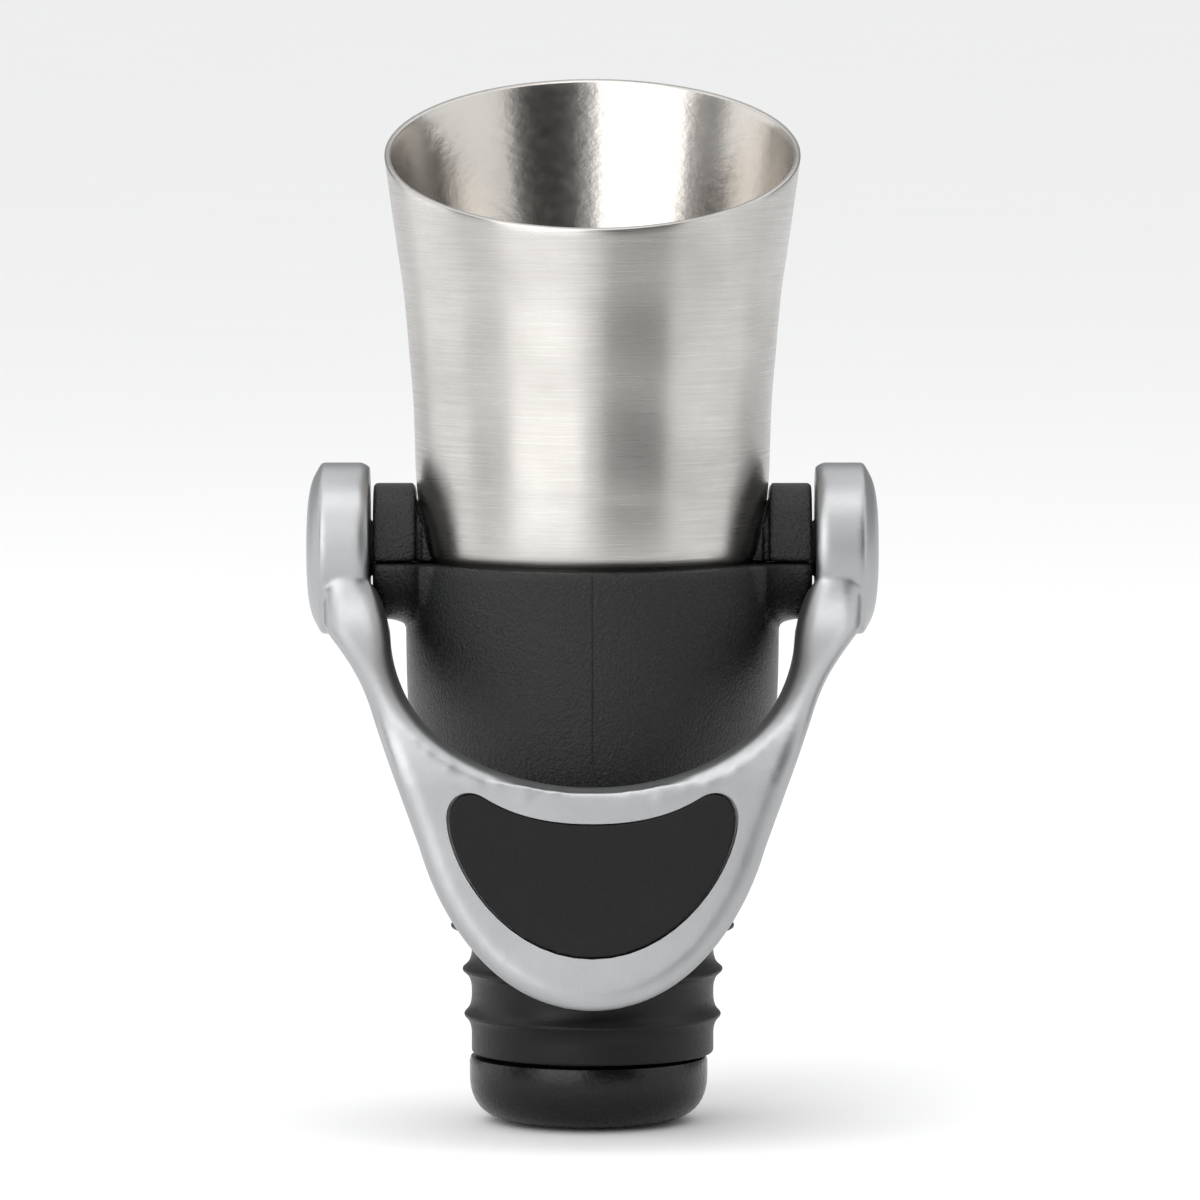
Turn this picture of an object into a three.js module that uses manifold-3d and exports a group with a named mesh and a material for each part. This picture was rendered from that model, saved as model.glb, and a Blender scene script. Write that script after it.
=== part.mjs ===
// Lever-operated pour spout for a bottle neck: flared steel cup, moulded housing, cast yoke lever,
// ribbed rubber stopper and a plug valve that the lever lifts and lowers.
// Units are millimetres. +Z is up, -Y is the front (lever side), +X is right.
// The origin is the centre of the plug's flat bottom.
import * as THREE from "three";
import { mergeVertices } from "three/addons/utils/BufferGeometryUtils.js";
import Module from "manifold-3d";

const wasm = await Module();
wasm.setup();

// Roundness: facets of the large turned bodies, and of the pins, screws and seals.
const ROUND = 36;
const ROUND_SMALL = 24;
const CURVE_STEPS = 8;
const BIG = 60;

// Lever pivot.
const PIVOT_Z = 43.0;
const SPLIT_Z = 42.2;
const TRUNNION_R = 2.0;
const TRUNNION_END_X = 9.45;
const SPIGOT_SIDE = 2.2;
const SPIGOT_END_X = 7.8;
const BUSH_R = 2.6;
const BUSH_X = [12.95, 16.35];
const PIVOT_BORE_R = 2.65;
const RUNNING_GAP = 0.05;
const ORING_X = 12.45;
const ORING_MID_R = 2.33;
const ORING_SECTION_R = 0.28;

// Cup.
const CUP_WALL = 0.5;
const CUP_LOW_Z = 39.0;
const CUP_FLANGE_R = 10.2;
const CUP_OUTSIDE = [
  [11.9, CUP_LOW_Z],
  [11.9, 42.6],
  [12.3, 43.7],
  [12.8, 45.4],
  [13.1, 47.2],
  [13.25, 49.0],
  [13.42, 54.0],
  [13.75, 58.0],
  [14.1, 62.0],
  [14.6, 65.5],
  [15.1, 69.0],
  [15.6, 72.6],
  [16.1, 76.0],
  [16.55, 79.0],
];
const RIM_MID_Z = 72.4;
const RIM_SLOPE_DEG = 18.1;
const CUP_NOTCH_R = 3.9;

// Collar ring inside the cup, with the lugs that cap the pivot bearings.
const COLLAR_R = [9.7, 11.1];
const COLLAR_Z = [39.55, 47.2];
const COLLAR_SPLIT_Z = 42.25;
const LUG_X = [13.2, 16.4];
const LUG_R = 4.9;
const LUG_CORNER = 0.35;
const NECK_R = 4.1;
const CHEEK_X = [11.0, 12.7];
const CHEEK_R = 4.4;
const WEB_X = [9.9, 13.4];
const WEB_R = 3.6;
const CUP_CLEARANCE = 0.25;
const CRANK_ROOM = [9.75, 4.6];

// Gasket under the cup.
const GASKET_R = [10.25, 12.2];
const GASKET_Z = [38.45, 38.95];

// Housing.
const HOUSING_OUTSIDE = [
  [11.2, 20.6],
  [12.1, 20.85],
  [12.7, 22.2],
  [13.2, 24.6],
  [13.65, 28.2],
  [13.9, 32.0],
  [14.0, 36.0],
  [14.0, 41.8],
  [13.85, 42.1],
  [13.6, SPLIT_Z],
];
const HOUSING_INSIDE = [
  [12.3, SPLIT_Z + 1],
  [12.3, 38.4],
  [10.2, 38.4],
  [10.0, 28.0],
  [9.4, 24.0],
  [7.1, 24.0],
  [7.1, 19.6],
];
const SADDLE_X = [10, 17];
const EAR_R = 5.3;
const EAR_PROFILE = [
  [6.7, 12.0],
  [6.7, 13.1],
  [5.95, 13.6],
  [5.5, 14.3],
  [EAR_R, 15.1],
  [EAR_R, 16.1],
  [5.0, 16.4],
];

// Lever yoke: control points of its outlines, (x, z) from the front and (y, z) from the side.
const BOSS_R = 6.43;
const BOSS_PROFILE = [
  [0, 16.7],
  [5.3, 16.7],
  [6.1, 17.0],
  [BOSS_R, 17.5],
  [BOSS_R, 20.35],
  [6.1, 20.72],
  [4.6, 21.15],
  [2.4, 21.38],
  [0, 21.42],
];
const YOKE_TIP_Z = 10.42;
const YOKE_OUTSIDE = [
  [6.4, YOKE_TIP_Z, 10.9, 16.0, 12.7, 22.2],
  [13.9, 25.5, 15.2, 29.0, 16.4, 32.3],
  [17.3, 34.6, 18.6, 35.9, 20.0, 37.6],
];
const ARM_TOP_X = [16.9, 20.2];
const ARCH = { z: 36.6, halfWidth: 14.8, drop: 9.8 };
const ARM_FRONT = [-7.2, 35.0, -17.2, 35.5, -18.3, 27.0];
const TAB_FRONT = [-18.7, 22.0, -19.2, 16.0, -20.6, 10.2];
const TAB_BACK = [-15.9, 16.0, -15.6, 21.0, -15.3, 26.5];
const TAB_THICKNESS = 3.0;
const TAB_DEPTHS = [-30, -10];
const ARM_BACK = [-13.6, 32.5, -5.0, 31.0, 1.2, 36.7];
const EAR_CLEARANCE_R = 5.9;

// Thumb pad.
const PAD_CURVES = [
  [6.4, 14.4, 10.4, 21.0, 10.5, 24.4],
  [10.5, 26.3, 8.9, 26.7, 7.7, 25.9],
  [5.9, 24.8, 3.6, 24.05, 0, 24.05],
];
const PAD_MID_Z = 20.3;
const PAD_DEPTH = 1.2;
const PAD_PROUD = 0.1;
const PAD_RECESS_SCALE = 1.02;

// Crank arms and crosshead.
const CRANK_X = [7.65, 9.4];
const CRANK_HUB_R = 2.5;
const CRANK_TIP_R = 1.5;
const CRANK_THROW = 2.5;
const CRANK_ANGLE_DEG = 37.5;
const PIN_R = 1.0;
const PIN_END_X = 5.9;
const PIN_Y = CRANK_THROW * Math.cos(THREE.MathUtils.degToRad(CRANK_ANGLE_DEG));
const PIN_Z = PIVOT_Z + CRANK_THROW * Math.sin(THREE.MathUtils.degToRad(CRANK_ANGLE_DEG));
const SLOT_Y = [0.83, 3.65];
const SLOT_HALF = 1.12;
const PLATE_X = [5.85, 7.35];
const PLATE_Y = [-1.2, 4.4];
const PLATE_HALF_Z = 1.75;
const BAR_HALF = { y: 1.6, z: 1.1 };
const HUB_R = 2.2;

// Valve stem, plug and guide.
const STEM_R = 1.5;
const STEM_Z = [2.3, 42.6];
const STEM_NECK_R = 1.1;
const STEM_CONE_Z = [4.2, 4.6];
const SCREW_R = 0.8;
const SCREW_HEAD = [1.8, 1.1];
const SCREW_DEPTH = 3.0;
const PLUG_SHIFT_X = -0.3;
const PLUG_PROFILE = [
  [0, 0],
  [5.75, 0],
  [7.0, 0.28],
  [8.0, 0.95],
  [8.65, 1.9],
  [8.95, 3.2],
  [8.95, 4.5],
  [8.7, 4.8],
  [7.5, 4.8],
  [7.5, 3.9],
  [5.1, 3.9],
  [5.1, 4.8],
  [0, 4.8],
];
const SEAL_R = [5.2, 7.35];
const SEAL_Z = [3.95, 5.3];
const GUIDE = { ring: [4.95, 5.5], hub: [1.58, 2.4], z: [6.5, 8.5], spoke: 1.2 };
const VENT = { y: -3.7, outer: 1.1, inner: 0.75, z: [5.9, 48.0] };
const VENT_BOSS_R = 1.6;

// Stopper.
const CORE_R = [5.6, 7.0];
const CORE_Z = [5.35, 26.2];
const CORE_FLANGE = { r: 9.0, z: 24.98 };
const CORE_ORING = { mid: 8.0, section: 0.46, z: 24.49 };
const SLEEVE_BORE_R = 7.08;
const SLEEVE_MOUTH = { r: 7.75, z: 5.5 };
const SLEEVE_Z = [5.0, 20.5];
const SLEEVE_R = 9.1;
const FINS = [
  [7.9, 9.65],
  [11.3, 9.78],
  [14.6, 10.65],
];
const FIN_HALF = 0.95;
const FIN_TIP_HALF = 0.2;
const SEAT = { r: 12.1, z: 18.8 };

// Ear screws.
const EAR_SCREW = { x: 14.7, y: 3.45, shank: 0.55, head: 0.95, low: 40.1, shoulder: 40.9, top: 44.8 };
const SCREW_GAP = 0.06;
const DRIVE_R = 0.45;

// Finishes: colour, roughness, metalness.
const BRUSHED_STEEL = new THREE.MeshStandardMaterial({ color: 0xb9b8b5, roughness: 0.32, metalness: 1 });
const CAST_ZINC = new THREE.MeshStandardMaterial({ color: 0xa9acae, roughness: 0.45, metalness: 1 });
const TURNED_STEEL = new THREE.MeshStandardMaterial({ color: 0xc4c4c2, roughness: 0.25, metalness: 1 });
const BLACK_NYLON = new THREE.MeshStandardMaterial({ color: 0x1b1c1e, roughness: 0.55, metalness: 0 });
const BLACK_GLOSS = new THREE.MeshStandardMaterial({ color: 0x151517, roughness: 0.35, metalness: 0 });
const BLACK_RUBBER = new THREE.MeshStandardMaterial({ color: 0x18181a, roughness: 0.8, metalness: 0 });
const PALE_ACETAL = new THREE.MeshStandardMaterial({ color: 0xd9d6cc, roughness: 0.5, metalness: 0 });
const BRASS = new THREE.MeshStandardMaterial({ color: 0xb08d4c, roughness: 0.4, metalness: 1 });

// A closed three.js geometry as a solid.
function solidOf(geometry) {
  geometry.deleteAttribute("normal");
  geometry.deleteAttribute("uv");
  const merged = mergeVertices(geometry, 1e-4);
  const index = merged.index.array;
  const kept = [];
  for (let i = 0; i < index.length; i += 3) {
    const [a, b, c] = [index[i], index[i + 1], index[i + 2]];
    if (a !== b && b !== c && c !== a) kept.push(a, b, c);
  }
  const vertProperties = new Float32Array(merged.attributes.position.array);
  const mesh = new wasm.Mesh({ numProp: 3, vertProperties, triVerts: new Uint32Array(kept) });
  mesh.merge();
  return new wasm.Manifold(mesh);
}

// Turns [radius, height] points about +Z. The profile ends on the axis or closes on itself.
function revolve(profile, segments = ROUND) {
  const points = profile.map(([r, z]) => new THREE.Vector2(r, z));
  const made = solidOf(new THREE.LatheGeometry(points, segments).rotateX(Math.PI / 2));
  return made.volume() > 0 ? made : revolve([...profile].reverse(), segments);
}

// A profile with its first point repeated at the end.
function closed(profile) {
  return [...profile, profile[0]];
}

// Closes a profile onto the axis at both ends.
function filled(profile, segments = ROUND) {
  return revolve([[0, profile[0][1]], ...profile, [0, profile.at(-1)[1]]], segments);
}

function tube([inner, outer], [low, high], segments = ROUND) {
  return revolve(closed([[inner, low], [outer, low], [outer, high], [inner, high]]), segments);
}

function rod(radius, [low, high], segments = ROUND_SMALL) {
  return revolve([[0, low], [radius, low], [radius, high], [0, high]], segments);
}

function torus(middle, section, z) {
  const profile = [];
  for (let i = 0; i < 10; i++) {
    const turn = (i / 10) * 2 * Math.PI;
    profile.push([middle + section * Math.cos(turn), z + section * Math.sin(turn)]);
  }
  return revolve(closed(profile), ROUND_SMALL);
}

// A solid turned about +Z, laid along +X at the pivot's height.
function atPivot(solid) {
  return solid.rotate([0, 90, 0]).translate([0, 0, PIVOT_Z]);
}

function box([x0, x1], [y0, y1], [z0, z1]) {
  const geometry = new THREE.BoxGeometry(x1 - x0, y1 - y0, z1 - z0);
  return solidOf(geometry.translate((x0 + x1) / 2, (y0 + y1) / 2, (z0 + z1) / 2));
}

function bothSides(solid) {
  return solid.add(solid.mirror([1, 0, 0]));
}

function union(solids) {
  return solids.reduce((whole, next) => whole.add(next));
}

// An outline of (x, z) points, extruded along Y between two depths.
function frontPrism(points, [y0, y1]) {
  const flat = new THREE.ExtrudeGeometry(new THREE.Shape(points), { depth: y1 - y0, bevelEnabled: false });
  return solidOf(flat.rotateX(Math.PI / 2).translate(0, y1, 0));
}

// An outline of (y, z) points, extruded along X over the whole width.
function sidePrism(points) {
  const flat = new THREE.ExtrudeGeometry(new THREE.Shape(points), { depth: BIG, bevelEnabled: false });
  flat.rotateX(Math.PI / 2).rotateZ(Math.PI / 2);
  return solidOf(flat.translate(-BIG / 2, 0, 0));
}

// A half outline that starts and ends on x = 0, completed by its mirror image.
function mirrored(half) {
  const other = half.slice(1, -1).reverse().map((p) => new THREE.Vector2(-p.x, p.y));
  return [...half, ...other];
}

// A round-topped block about the pivot axis with straight sides down to the split.
function arch(radius, [x0, x1], low) {
  const round = atPivot(rod(radius, [x0, x1], ROUND_SMALL * 2));
  return round.add(box([x0, x1], [-radius, radius], [low, PIVOT_Z])).trimByPlane([0, 0, 1], low);
}

// The bearing bore along X with straight sides, open downwards or upwards.
function pivotCut([x0, x1], [z0, z1]) {
  const bore = atPivot(rod(PIVOT_BORE_R, [x0, x1]));
  return bore.add(box([x0, x1], [-PIVOT_BORE_R, PIVOT_BORE_R], [z0, z1]));
}

// The sloping plane at the cup's mouth: everything above it.
function aboveRim() {
  const slab = box([-BIG, BIG], [-BIG, BIG], [0, BIG]);
  return slab.rotate([RIM_SLOPE_DEG, 0, 0]).translate([0, 0, RIM_MID_Z]);
}

function cupFilled(grow) {
  const side = CUP_OUTSIDE.map(([r, z]) => [r + grow, z]);
  return filled(side);
}

function makeCup() {
  const inside = CUP_OUTSIDE.slice(1).map(([r, z]) => [r - CUP_WALL, z]).reverse();
  const floor = CUP_LOW_Z + CUP_WALL;
  const foot = [[CUP_OUTSIDE[0][0] - CUP_WALL, floor], [CUP_FLANGE_R, floor], [CUP_FLANGE_R, CUP_LOW_Z]];
  const shell = revolve(closed([...CUP_OUTSIDE, ...inside, ...foot]));
  const notch = arch(CUP_NOTCH_R, [8, LUG_X[0]], CUP_LOW_Z - 1);
  return shell.subtract(bothSides(notch)).subtract(aboveRim());
}

function makeLug() {
  const [x0, x1] = LUG_X;
  const profile = [[0, x0], [LUG_R, x0], [LUG_R, x1 - LUG_CORNER], [LUG_R - LUG_CORNER, x1], [0, x1]];
  const foot = box([x0, x1], [-LUG_R + LUG_CORNER, LUG_R - LUG_CORNER], [COLLAR_SPLIT_Z, PIVOT_Z]);
  const round = atPivot(revolve(profile, ROUND));
  return round.add(foot).trimByPlane([0, 0, 1], COLLAR_SPLIT_Z);
}

function makeCollar() {
  const cheek = arch(CHEEK_R, CHEEK_X, COLLAR_SPLIT_Z);
  const neck = arch(NECK_R, [CHEEK_X[1], LUG_X[0]], COLLAR_SPLIT_Z);
  const outside = union([makeLug(), neck, cheek]).subtract(cupFilled(CUP_CLEARANCE));
  const web = arch(WEB_R, WEB_X, COLLAR_SPLIT_Z);
  const [roomX, roomY] = CRANK_ROOM;
  const room = box([-roomX, roomX], [-roomY, roomY], [CUP_LOW_Z, PIVOT_Z + 6]);
  const bore = pivotCut([8, 17], [CUP_LOW_Z, PIVOT_Z]);
  const whole = tube(COLLAR_R, COLLAR_Z).add(bothSides(outside.add(web)));
  return whole.subtract(bothSides(bore)).subtract(room).subtract(screwHoles(EAR_SCREW.top + 0.3));
}

function makeHousing() {
  const ears = bothSides(atPivot(filled(EAR_PROFILE))).trimByPlane([0, 0, -1], -SPLIT_Z);
  const saddles = bothSides(pivotCut(SADDLE_X, [PIVOT_Z, PIVOT_Z + BUSH_R]));
  const solid = filled(HOUSING_OUTSIDE).add(ears).subtract(filled(HOUSING_INSIDE));
  return solid.subtract(saddles).subtract(screwHoles(EAR_SCREW.top));
}

// Clearance for the two ear screws: shanks up to a height, and counterbores open downwards.
function screwHoles(top) {
  const { x, y, shank, head, shoulder } = EAR_SCREW;
  const shaft = rod(shank + SCREW_GAP, [shoulder - 1, top]);
  const hole = shaft.add(rod(head + SCREW_GAP, [shoulder - 5, shoulder + SCREW_GAP]));
  return bothSides(hole.translate([x, y, 0]));
}

function makeEarScrew() {
  const { x, y, shank, head, low, shoulder, top } = EAR_SCREW;
  const profile = [[0, low], [head, low], [head, shoulder], [shank, shoulder]];
  const body = revolve([...profile, [shank, top - 0.3], [shank - 0.3, top], [0, top]], ROUND_SMALL);
  const drive = solidOf(new THREE.CylinderGeometry(DRIVE_R, DRIVE_R, 1, 6).rotateX(Math.PI / 2));
  return body.subtract(drive.translate([0, 0, low])).translate([x, y, 0]);
}

// Front outline of the yoke, right half, from the tip up the outside and back down the arch.
function yokeHalfOutline() {
  const path = new THREE.Path();
  path.moveTo(0, YOKE_TIP_Z);
  for (const curve of YOKE_OUTSIDE) path.bezierCurveTo(...curve);
  path.lineTo(ARM_TOP_X[1], PIVOT_Z);
  path.lineTo(ARM_TOP_X[0], PIVOT_Z);
  path.quadraticCurveTo(ARCH.halfWidth + 0.8, 40.0, ARCH.halfWidth, ARCH.z);
  path.absellipse(0, ARCH.z, ARCH.halfWidth, ARCH.drop, 0, -Math.PI / 2, true, 0);
  return path.getPoints(CURVE_STEPS);
}

function yokeSideOutline() {
  const path = new THREE.Path();
  path.absarc(0, PIVOT_Z, BOSS_R, Math.PI / 2, Math.PI * 1.05, false);
  path.bezierCurveTo(...ARM_FRONT);
  path.bezierCurveTo(...TAB_FRONT);
  path.lineTo(TAB_FRONT[4] + TAB_THICKNESS, TAB_FRONT[5]);
  path.bezierCurveTo(...TAB_BACK);
  path.bezierCurveTo(...ARM_BACK);
  path.absarc(0, PIVOT_Z, BOSS_R, -Math.PI * 0.44, Math.PI / 2, false);
  return path.getPoints(CURVE_STEPS);
}

// A layer that follows the tab's front face between two depths behind it.
function faceLayer(front, back) {
  const face = new THREE.Path();
  face.moveTo(ARM_FRONT[4] + 0.7, 33.0);
  face.lineTo(ARM_FRONT[4], ARM_FRONT[5]);
  face.bezierCurveTo(...TAB_FRONT);
  const points = face.getPoints(CURVE_STEPS);
  const near = points.map((p) => new THREE.Vector2(p.x + front, p.y));
  const far = points.map((p) => new THREE.Vector2(p.x + back, p.y)).reverse();
  return sidePrism([...near, ...far]);
}

function padOutline(scale) {
  const path = new THREE.Path();
  path.moveTo(0, PAD_CURVES[0][1]);
  for (const curve of PAD_CURVES) path.bezierCurveTo(...curve);
  const grown = path.getPoints(CURVE_STEPS).map(
    (p) => new THREE.Vector2(p.x * scale, PAD_MID_Z + (p.y - PAD_MID_Z) * scale),
  );
  return mirrored(grown);
}

function makePad() {
  return frontPrism(padOutline(1), TAB_DEPTHS).intersect(faceLayer(-PAD_PROUD, PAD_DEPTH));
}

function makeYoke() {
  const front = frontPrism(mirrored(yokeHalfOutline()), [-BIG / 2, BIG / 2]);
  const arms = front.intersect(sidePrism(yokeSideOutline()));
  const room = atPivot(rod(EAR_CLEARANCE_R, [-16.7, 16.7], ROUND));
  const pocket = faceLayer(-1, PAD_DEPTH + PAD_PROUD);
  const recess = frontPrism(padOutline(PAD_RECESS_SCALE), TAB_DEPTHS).intersect(pocket);
  const boss = atPivot(revolve(BOSS_PROFILE));
  const trunnion = atPivot(rod(TRUNNION_R, [TRUNNION_END_X, 17.5]));
  const half = SPIGOT_SIDE / 2;
  const spigot = box([SPIGOT_END_X, TRUNNION_END_X + 0.5], [-half, half], [PIVOT_Z - half, PIVOT_Z + half]);
  const ends = union([boss, trunnion, spigot]);
  return arms.subtract(room).subtract(recess).add(bothSides(ends));
}

function makeCrank() {
  const [x0, x1] = CRANK_X;
  const shape = new THREE.Shape();
  const lean = Math.acos((CRANK_HUB_R - CRANK_TIP_R) / CRANK_THROW);
  shape.absarc(0, 0, CRANK_HUB_R, lean, -lean, false);
  shape.absarc(CRANK_THROW, 0, CRANK_TIP_R, -lean, lean, false);
  const flat = new THREE.ExtrudeGeometry(shape, { depth: x1 - x0, bevelEnabled: false, curveSegments: 20 });
  const arm = solidOf(flat).add(rod(PIN_R, [PIN_END_X - x0, 0.5]).translate([CRANK_THROW, 0, 0]));
  const laid = arm.rotate([0, 0, CRANK_ANGLE_DEG]).rotate([90, 0, 90]).translate([x0, 0, PIVOT_Z]);
  const half = SPIGOT_SIDE / 2 + RUNNING_GAP;
  return laid.subtract(box([SPIGOT_END_X - 0.2, x1 + 1], [-half, half], [PIVOT_Z - half, PIVOT_Z + half]));
}

function makeCrosshead() {
  const hub = rod(HUB_R, [PIN_Z - PLATE_HALF_Z, PIN_Z + PLATE_HALF_Z], ROUND);
  const bar = box([-PLATE_X[0] - 0.2, PLATE_X[0] + 0.2], [-BAR_HALF.y, BAR_HALF.y],
    [PIN_Z - BAR_HALF.z, PIN_Z + BAR_HALF.z]);
  const plate = box(PLATE_X, PLATE_Y, [PIN_Z - PLATE_HALF_Z, PIN_Z + PLATE_HALF_Z]);
  const slot = box([PLATE_X[0] - 0.5, PLATE_X[1] + 0.5], SLOT_Y, [PIN_Z - SLOT_HALF, PIN_Z + SLOT_HALF]);
  const bore = rod(SCREW_R + RUNNING_GAP, [PIN_Z - 5, PIN_Z + 5]);
  return hub.add(bar).add(bothSides(plate)).subtract(bothSides(slot)).subtract(bore);
}

function makeCrossheadScrew() {
  const seat = PIN_Z + PLATE_HALF_Z;
  const low = STEM_Z[1] - SCREW_DEPTH;
  const [r, height] = SCREW_HEAD;
  const shank = [[0, low], [SCREW_R, low], [SCREW_R, seat]];
  const head = [[r, seat], [r, seat + height * 0.6], [r * 0.8, seat + height], [0, seat + height]];
  const slot = box([-0.25, 0.25], [-r, r], [seat + height * 0.5, seat + height + 1]);
  return revolve([...shank, ...head], ROUND_SMALL).subtract(slot);
}

function makeStem() {
  const [low, high] = STEM_Z;
  const [neckTop, coneTop] = STEM_CONE_Z;
  const neck = [[0, low], [STEM_NECK_R, low], [STEM_NECK_R, neckTop], [STEM_R, coneTop]];
  const hole = rod(SCREW_R + RUNNING_GAP, [high - SCREW_DEPTH - 0.2, high + 1]);
  return revolve([...neck, [STEM_R, high], [0, high]], ROUND_SMALL).subtract(hole);
}

function makePlug() {
  const outside = revolve(PLUG_PROFILE).translate([PLUG_SHIFT_X, 0, 0]);
  const [neckTop, coneTop] = STEM_CONE_Z;
  const neck = rod(STEM_NECK_R + RUNNING_GAP, [STEM_Z[0] - 0.1, coneTop]);
  const cone = [
    [STEM_NECK_R, neckTop - 0.1],
    [STEM_R + 0.1, coneTop - RUNNING_GAP],
    [STEM_R + 0.1, coneTop + 1],
  ];
  return outside.subtract(neck).subtract(filled(cone, ROUND_SMALL));
}

function makeGuide() {
  const { ring, hub, z, spoke } = GUIDE;
  const spokes = [30, 150].map((turn) => box([2, 5.2], [-spoke / 2, spoke / 2], z).rotate([0, 0, turn]));
  const boss = rod(VENT_BOSS_R, z).translate([0, VENT.y, 0]);
  const solid = union([tube(ring, z), tube(hub, z, ROUND_SMALL), boss, ...spokes]);
  const stemRoom = rod(hub[0], [0, 12]);
  const ventRoom = rod(VENT.outer + RUNNING_GAP, [0, 12]).translate([0, VENT.y, 0]);
  const limit = rod(ring[1], [0, 12], ROUND);
  return solid.intersect(limit).subtract(stemRoom).subtract(ventRoom);
}

function makeCore() {
  const [inner, outer] = CORE_R;
  const [low, high] = CORE_Z;
  const { r, z } = CORE_FLANGE;
  return revolve(closed([[inner, low], [outer, low], [outer, z], [r, z], [r, high], [inner, high]]));
}

function makeSleeve() {
  const [low, high] = SLEEVE_Z;
  const mouth = SLEEVE_MOUTH;
  const profile = [[mouth.r, low], [SLEEVE_R - 0.2, low], [SLEEVE_R, low + 0.25]];
  for (const [z, r] of FINS) {
    profile.push([SLEEVE_R, z - FIN_HALF], [r, z - FIN_TIP_HALF]);
    profile.push([r, z + FIN_TIP_HALF], [SLEEVE_R, z + FIN_HALF]);
  }
  profile.push([SLEEVE_R, SEAT.z], [SEAT.r, SEAT.z], [SEAT.r, high], [SLEEVE_BORE_R, high]);
  profile.push([SLEEVE_BORE_R, mouth.z], [mouth.r, mouth.z]);
  return revolve(closed(profile));
}

const part = new THREE.Group();
part.name = "lever_pour_spout";

// Adds a solid to the part as one named mesh.
function place(name, solid, finish) {
  const { vertProperties, triVerts } = solid.getMesh();
  const geometry = new THREE.BufferGeometry();
  geometry.setAttribute("position", new THREE.BufferAttribute(vertProperties, 3));
  geometry.setIndex(new THREE.BufferAttribute(triVerts, 1));
  geometry.computeVertexNormals();
  const mesh = new THREE.Mesh(geometry, finish);
  mesh.name = name;
  part.add(mesh);
}

// Adds the right-hand copy of a solid and its mirror image on the left.
function placePair(name, solid, finish) {
  place(`${name}_right`, solid, finish);
  place(`${name}_left`, solid.mirror([1, 0, 0]), finish);
}

const bush = atPivot(tube([TRUNNION_R + RUNNING_GAP, BUSH_R], BUSH_X, ROUND_SMALL));
const seal = tube(SEAL_R, SEAL_Z).translate([PLUG_SHIFT_X, 0, 0]);
const vent = tube([VENT.inner, VENT.outer], VENT.z, ROUND_SMALL).translate([0, VENT.y, 0]);

place("pour_cup", makeCup(), BRUSHED_STEEL);
place("cup_collar", makeCollar(), BLACK_NYLON);
place("cup_gasket", tube(GASKET_R, GASKET_Z), BLACK_RUBBER);
place("housing", makeHousing(), BLACK_NYLON);
place("lever_yoke", makeYoke(), CAST_ZINC);
place("thumb_pad", makePad(), BLACK_RUBBER);
placePair("pivot_bush", bush, PALE_ACETAL);
placePair("pivot_oring", atPivot(torus(ORING_MID_R, ORING_SECTION_R, ORING_X)), BLACK_RUBBER);
placePair("crank", makeCrank(), TURNED_STEEL);
place("crosshead", makeCrosshead(), PALE_ACETAL);
place("crosshead_screw", makeCrossheadScrew(), TURNED_STEEL);
place("valve_stem", makeStem(), TURNED_STEEL);
place("valve_plug", makePlug(), BLACK_GLOSS);
place("plug_seal", seal, BLACK_RUBBER);
place("stopper_sleeve", makeSleeve(), BLACK_RUBBER);
place("stopper_core", makeCore(), BLACK_NYLON);
place("core_oring", torus(CORE_ORING.mid, CORE_ORING.section, CORE_ORING.z), BLACK_RUBBER);
place("stem_guide", makeGuide(), PALE_ACETAL);
placePair("ear_screw", makeEarScrew(), BRASS);
place("vent_tube", vent, TURNED_STEEL);

export default part;
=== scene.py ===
"""Lever pour spout: flared steel cup, moulded housing, cast yoke lever and ribbed stopper."""

import logging
import math
from collections.abc import Callable, Sequence
from dataclasses import dataclass, field
from enum import Enum

import bmesh
import bpy
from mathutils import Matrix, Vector


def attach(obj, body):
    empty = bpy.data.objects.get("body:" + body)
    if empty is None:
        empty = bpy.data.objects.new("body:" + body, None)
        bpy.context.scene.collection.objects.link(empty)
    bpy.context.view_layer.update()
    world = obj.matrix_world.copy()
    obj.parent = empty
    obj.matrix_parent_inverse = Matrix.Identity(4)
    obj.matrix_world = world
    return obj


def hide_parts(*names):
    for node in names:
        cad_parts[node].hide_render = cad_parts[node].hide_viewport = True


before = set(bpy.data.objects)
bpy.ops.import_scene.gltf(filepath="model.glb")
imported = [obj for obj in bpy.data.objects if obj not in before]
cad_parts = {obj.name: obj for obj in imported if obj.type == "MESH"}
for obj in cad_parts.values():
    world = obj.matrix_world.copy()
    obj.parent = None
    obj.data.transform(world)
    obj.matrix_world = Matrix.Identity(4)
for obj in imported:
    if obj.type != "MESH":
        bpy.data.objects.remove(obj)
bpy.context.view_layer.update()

LOG = logging.getLogger("pour_spout")
MM = 0.001
SNAP = 1e-6
Point = tuple[float, float]
Span = tuple[float, float, float]
Material = bpy.types.Material
Object = bpy.types.Object


# ---------------------------------------------------------------- shop tools


class Axis(Enum):
    """The row axis that a shape is turned about or drawn out along."""

    X = "X"
    Y = "Y"
    Z = "Z"


class Cut(Enum):
    """How one solid acts on another."""

    ADD = "UNION"
    TAKE = "DIFFERENCE"
    KEEP = "INTERSECT"


def select_none() -> None:
    """Leaves edit mode and deselects every object."""
    if bpy.context.mode != "OBJECT":
        bpy.ops.object.mode_set(mode="OBJECT")
    bpy.ops.object.select_all(action="DESELECT")


def pick(piece: Object) -> None:
    """Makes one piece the only selected and active object.

    Args:
        piece: The piece to work on next.
    """
    select_none()
    piece.select_set(True)
    bpy.context.view_layer.objects.active = piece


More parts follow.
